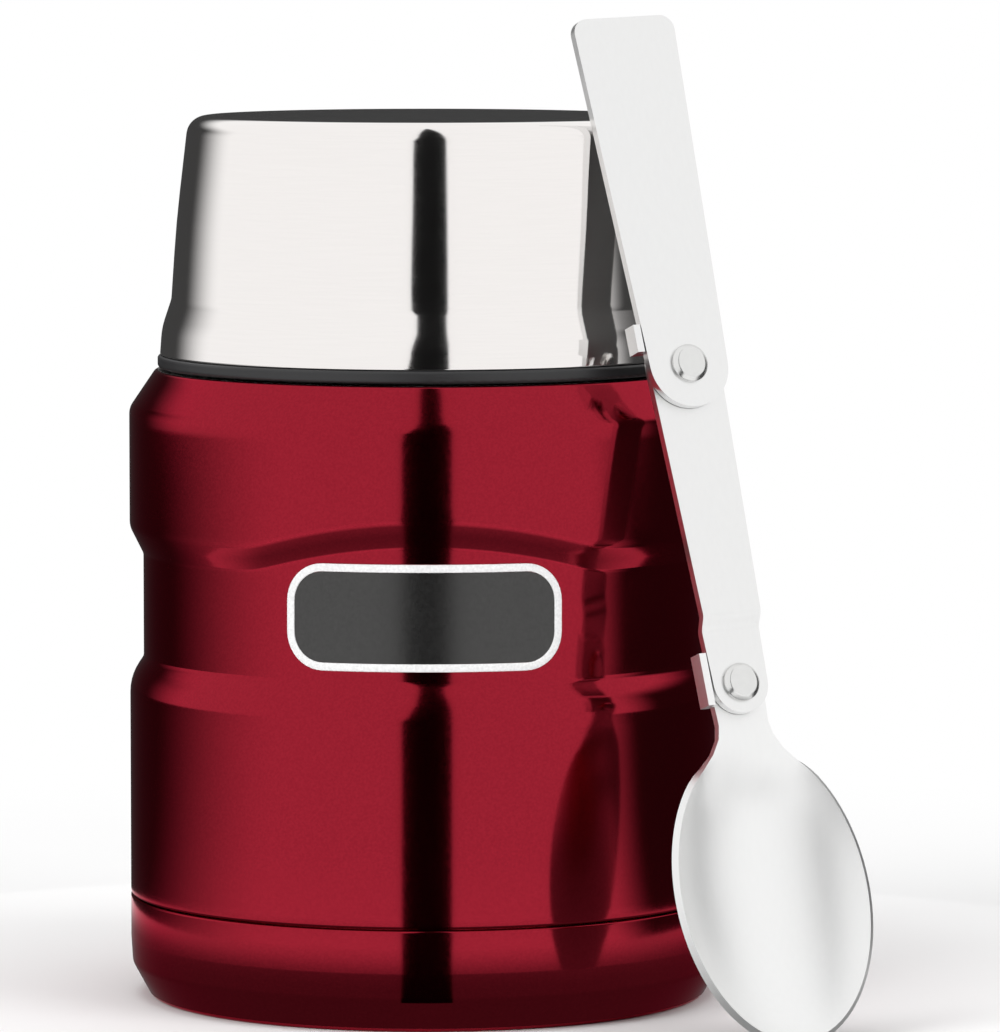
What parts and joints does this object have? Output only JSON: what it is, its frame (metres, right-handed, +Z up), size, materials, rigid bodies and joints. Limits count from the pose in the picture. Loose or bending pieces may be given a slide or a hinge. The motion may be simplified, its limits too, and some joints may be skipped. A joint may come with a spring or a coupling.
{
  "type": "insulated food jar",
  "caption": "Vacuum-insulated food jar with a lift-off bowl lid, a plug stopper with a tray, and a folding spoon leaning on it.",
  "frame": {"origin": "centre of the foot ring, on the surface the jar stands on", "axes": "+Z up along the jar's axis, -Y towards the front with the badge, +X to the side the spoon leans on"},
  "size_m": [0.1182, 0.1117, 0.1584],
  "materials": {
    "red_lacquer": "gloss",
    "polished_steel": "polished",
    "satin_steel": "satin",
    "spoon_steel": "polished",
    "rivet_steel": "polished",
    "foil": "mirror",
    "solder": "satin",
    "getter_metal": "matte",
    "black_plastic": "fine texture",
    "seal_silicone": "matte",
    "foam": "matte",
    "badge_field": "satin",
    "badge_white": "gloss"
  },
  "bodies": {
    "vessel": {"outer_wall": "red_lacquer", "base_cup": "red_lacquer", "outer_bottom": "satin_steel", "vacuum_plug": "solder", "getter_cup": "satin_steel", "getter": "getter_metal", "inner_wall": "satin_steel", "inner_bottom": "satin_steel", "heat_shield": "foil", "badge_plate": "badge_field", "badge_border": "badge_white"},
    "lid": {"lid_shell": "polished_steel", "lid_bowl": "black_plastic"},
    "stopper": {"stopper_body": "black_plastic", "stopper_tray": "black_plastic", "stopper_foam": "foam", "stopper_seal": "seal_silicone"},
    "scoop": {"spoon_scoop": "spoon_steel", "lower_rivet": "rivet_steel"},
    "link": {"spoon_link": "spoon_steel", "upper_rivet": "rivet_steel"},
    "grip": {"spoon_grip": "spoon_steel"}
  },
  "joints": [
    {"name": "lid_lift", "type": "slide", "parent": "vessel", "child": "lid", "axis": [0, 0, 1], "range_m": [0, 0.15]},
    {"name": "stopper_lift", "type": "slide", "parent": "vessel", "child": "stopper", "axis": [0, 0, 1], "range_m": [0, 0.072]},
    {"name": "spoon_slide", "type": "slide", "parent": "vessel", "child": "scoop", "axis": [0.682, -0.7314, 0], "range_m": [0, 0.06]},
    {"name": "spoon_lower_fold", "type": "hinge", "parent": "scoop", "child": "link", "pos_m": [0.04933, -0.04658, 0.05533], "axis": [-0.4251, 0.8484, -0.3156], "range_deg": [0, 180]},
    {"name": "spoon_upper_fold", "type": "hinge", "parent": "link", "child": "grip", "pos_m": [0.04013, -0.03331, 0.10339], "axis": [-0.4251, 0.8484, -0.3156], "range_deg": [0, 180]}
  ],
  "couplings": [
    {"joint": "stopper_lift", "follows": "lid_lift", "ratio": 0.48},
    {"joint": "spoon_slide", "follows": "lid_lift", "ratio": 0.4}
  ]
}
